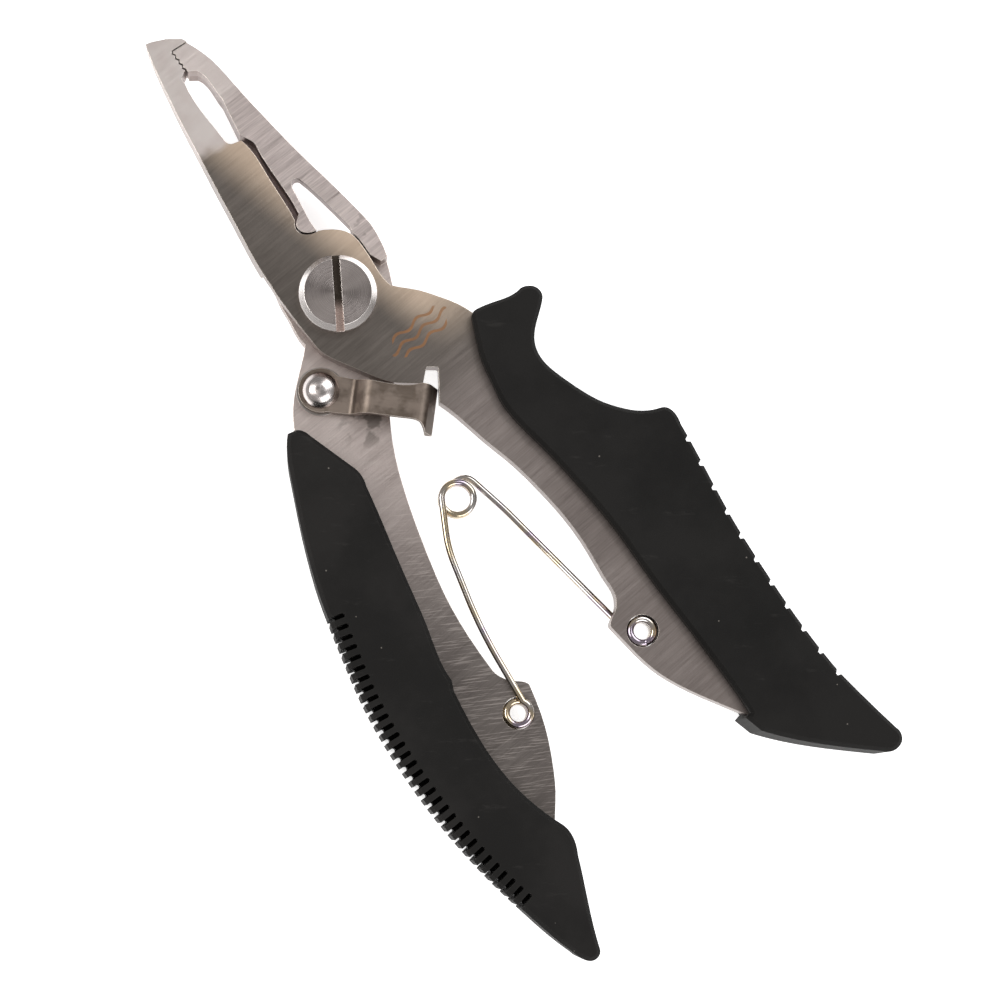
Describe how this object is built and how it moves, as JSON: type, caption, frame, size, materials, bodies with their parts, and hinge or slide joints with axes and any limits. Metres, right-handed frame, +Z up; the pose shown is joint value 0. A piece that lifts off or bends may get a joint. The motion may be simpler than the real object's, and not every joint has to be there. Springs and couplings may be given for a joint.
{
  "type": "fishing pliers",
  "caption": "Split-ring fishing pliers: two lapped steel plates on a slotted pivot screw, rubber grips, a wire opening spring and a swinging latch.",
  "frame": {"origin": "on the pivot axis, in the plane that the pliers rest on: the nut's outer face and the grips' back faces", "axes": "+Y towards the nose, +X towards the front plate's handle, +Z up out of the pivot screw's head"},
  "size_m": [0.0542, 0.1286, 0.009],
  "materials": {
    "blade_steel": "cross-brushed stainless plate, brighter at the thinned nose",
    "turned_steel": "turned stainless with concentric tool marks and a bright bevel",
    "washer_steel": "plain stainless washer",
    "latch_steel": "folded strip, satin with brighter bend lines",
    "spring_wire": "polished spring wire",
    "grip_rubber": "matt black moulded rubber with faint dust and scuffs"
  },
  "bodies": {
    "rear_lever": {"rear_plate": "blade_steel", "rear_grip": "grip_rubber", "pivot_screw": "turned_steel", "pivot_nut": "turned_steel", "pivot_washer": "washer_steel", "latch_washer": "washer_steel", "latch_rivet": "turned_steel", "rivet_washer": "washer_steel"},
    "front_lever": {"front_plate": "blade_steel", "front_grip": "grip_rubber"},
    "latch": {"latch_lever": "latch_steel"},
    "spring_rear": {"spring_rear_arm": "spring_wire"},
    "spring_front": {"spring_front_arm": "spring_wire"}
  },
  "joints": [
    {"name": "jaw_pivot", "type": "hinge", "parent": "rear_lever", "child": "front_lever", "pos_m": [0, 0, 0], "axis": [0, 0, 1], "range_deg": [0, 22], "stiffness_Nm_per_rad": 0.5, "springref_deg": 68.75},
    {"name": "latch_swing", "type": "hinge", "parent": "rear_lever", "child": "latch", "pos_m": [-0.00861, -0.00865, 0], "axis": [0, 0, 1], "range_deg": [-30, 4]},
    {"name": "spring_rear_pivot", "type": "hinge", "parent": "rear_lever", "child": "spring_rear", "pos_m": [-0.0115, -0.05644, 0], "axis": [0, 0, 1], "range_deg": [-17, 1], "deforming": ["spring_rear_arm"]},
    {"name": "spring_coil", "type": "hinge", "parent": "spring_rear", "child": "spring_front", "pos_m": [-0.00222, -0.02983, 0], "axis": [0, 0, 1], "range_deg": [-1, 52], "deforming": ["spring_front_arm"]}
  ],
  "couplings": [
    {"joint": "spring_rear_pivot", "follows": "jaw_pivot", "ratio": -0.71607},
    {"joint": "spring_coil", "follows": "jaw_pivot", "ratio": 2.3157}
  ]
}
